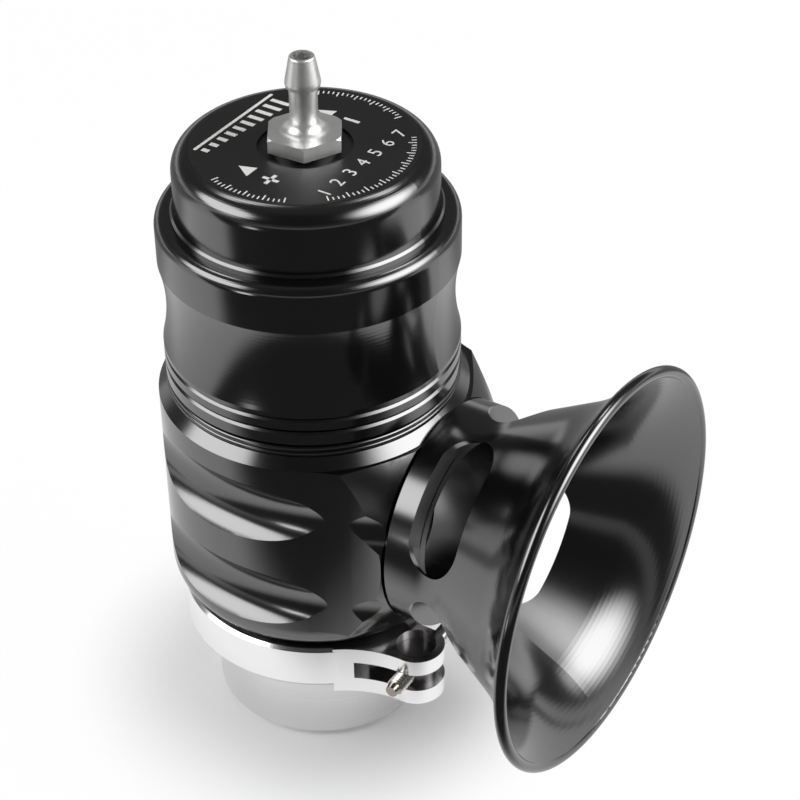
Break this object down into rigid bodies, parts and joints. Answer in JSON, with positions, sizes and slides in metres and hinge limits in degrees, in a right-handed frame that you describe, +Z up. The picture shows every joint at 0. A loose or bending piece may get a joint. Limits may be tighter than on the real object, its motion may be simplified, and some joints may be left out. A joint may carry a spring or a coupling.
{
  "type": "blow off valve",
  "caption": "Turbo blow off valve: sprung piston in a black round body with a slotted trumpet outlet, adjustable cap with hose barb, and a clamp that holds it on a weld flange.",
  "frame": {"origin": "centre of the inlet at the open foot of the weld flange", "axes": "+Z up the valve's axis towards the hose barb, +X out of the trumpet"},
  "size_m": [0.1045, 0.0872, 0.1573],
  "materials": {
    "black_anodised": "gloss black anodised",
    "polished_aluminium": "polished",
    "satin_aluminium": "satin machined",
    "plated_steel": "zinc plated",
    "dark_steel": "blued",
    "spring_steel": "drawn wire",
    "rubber": "moulded",
    "slide_plastic": "matt"
  },
  "bodies": {
    "housing": {"weld_flange": "satin_aluminium", "flange_seal": "rubber", "clamp_ring": "polished_aluminium", "barrel_nut": "dark_steel", "plain_barrel": "dark_steel", "valve_body": "black_anodised", "trumpet_seal": "rubber", "trumpet_clip": "spring_steel", "guide_band": "slide_plastic", "neck_seal": "rubber", "outer_spring": "spring_steel", "inner_spring": "spring_steel"},
    "piston_unit": {"piston": "satin_aluminium", "piston_seal": "rubber", "seat_seal": "rubber"},
    "preload_unit": {"spring_seat": "plated_steel"},
    "cap_unit": {"cap": "black_anodised", "hose_barb": "plated_steel", "barb_washer": "satin_aluminium"},
    "lock_rings": {"lock_ring_upper": "black_anodised", "lock_ring_lower": "black_anodised"},
    "trumpet_unit": {"trumpet": "black_anodised"},
    "screw_slider": {"screw_washer": "plated_steel"},
    "screw_unit": {"clamp_screw": "plated_steel"}
  },
  "joints": [
    {"name": "piston_lift", "type": "slide", "parent": "housing", "child": "piston_unit", "axis": [0, 0, 1], "range_m": [0, 0.016], "stiffness_N_per_m": 3000, "springref_m": -0.03, "deforming": ["outer_spring", "inner_spring"]},
    {"name": "preload_travel", "type": "slide", "parent": "housing", "child": "preload_unit", "axis": [0, 0, 1], "range_m": [0, 0.004], "deforming": ["outer_spring", "inner_spring"]},
    {"name": "cap_turn", "type": "hinge", "parent": "preload_unit", "child": "cap_unit", "pos_m": [0, 0, 0.1], "axis": [0, 0, 1], "range_deg": [0, 961]},
    {"name": "lock_ring_turn", "type": "hinge", "parent": "housing", "child": "lock_rings", "pos_m": [0, 0, 0.09], "axis": [0, 0, 1], "range_deg": [-30, 0]},
    {"name": "trumpet_swivel", "type": "hinge", "parent": "housing", "child": "trumpet_unit", "pos_m": [0.0323, 0, 0.0602], "axis": [1, 0, 0], "continuous": true},
    {"name": "screw_travel", "type": "slide", "parent": "housing", "child": "screw_slider", "axis": [0, 1, 0], "range_m": [0, 0.0021]},
    {"name": "screw_turn", "type": "hinge", "parent": "screw_slider", "child": "screw_unit", "pos_m": [0.033, 0, 0.026], "axis": [0, 1, 0], "range_deg": [0, 1081]}
  ],
  "couplings": [
    {"joint": "cap_turn", "follows": "preload_travel", "rad_per_m": 4188.8},
    {"joint": "screw_turn", "follows": "screw_travel", "rad_per_m": 8976}
  ]
}
